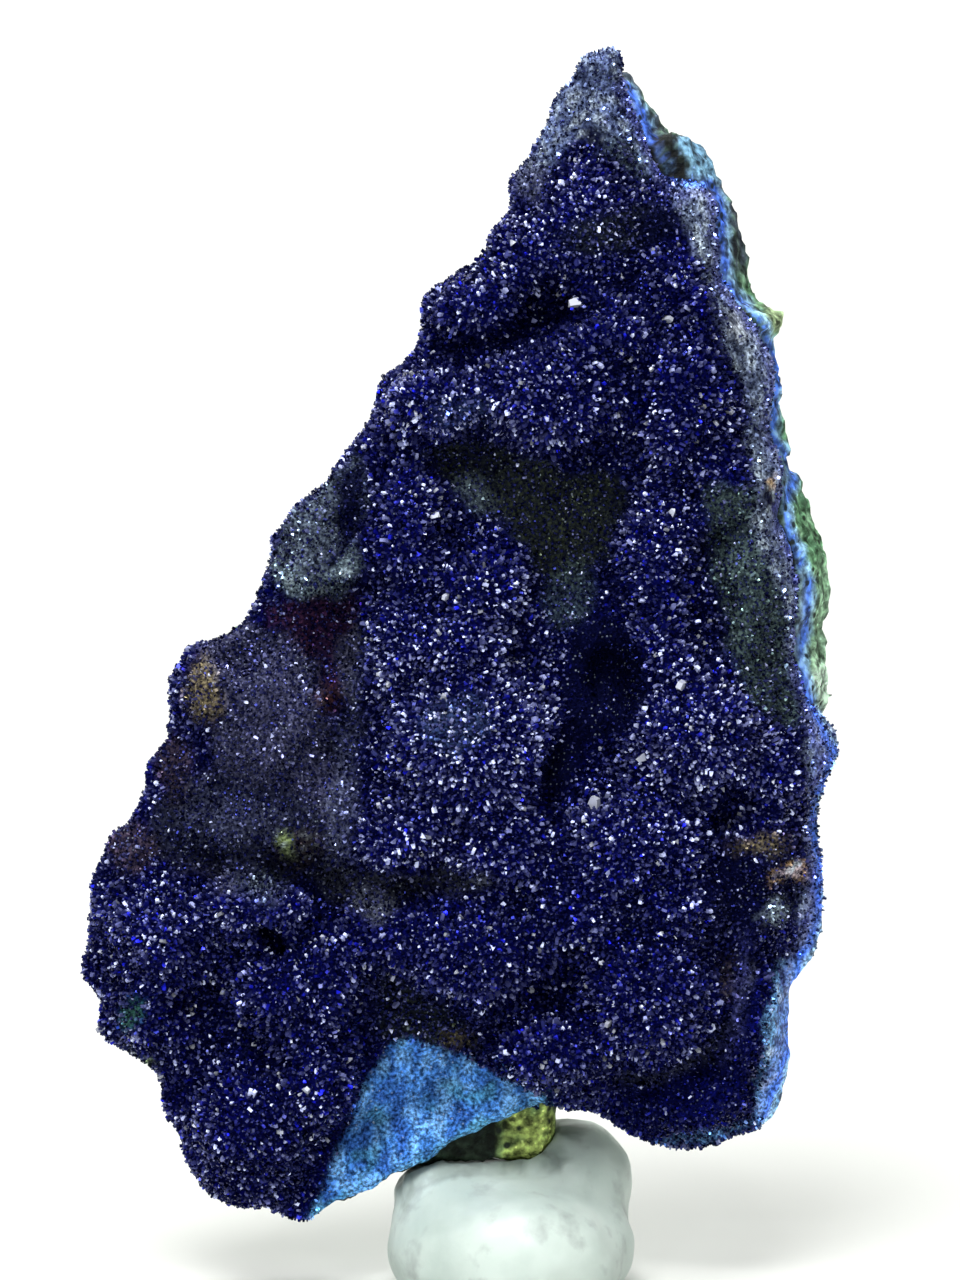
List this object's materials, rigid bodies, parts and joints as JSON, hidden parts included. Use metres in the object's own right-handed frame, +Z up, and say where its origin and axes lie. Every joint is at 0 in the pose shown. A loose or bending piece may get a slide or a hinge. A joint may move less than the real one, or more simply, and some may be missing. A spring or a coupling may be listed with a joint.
{
  "type": "azurite mineral specimen",
  "caption": "Upright display mineral: a druse of deep blue azurite lobes on green malachite rock, held in a lump of pale putty.",
  "frame": {"origin": "on the table, under the middle of the whole object's box", "axes": "+Z up towards the specimen's tip, -Y out of the crystal face, +X to the right when looking at the crystal face"},
  "size_m": [0.0576, 0.0196, 0.0937],
  "materials": {
    "azurite": "glittering dark blue druse of small crystals",
    "malachite": "rough green rock with dark vugs and brown stains",
    "putty": "satin kneaded putty"
  },
  "bodies": {
    "root": {"azurite_crust": "azurite", "malachite_matrix": "malachite", "display_putty": "putty"}
  },
  "joints": []
}
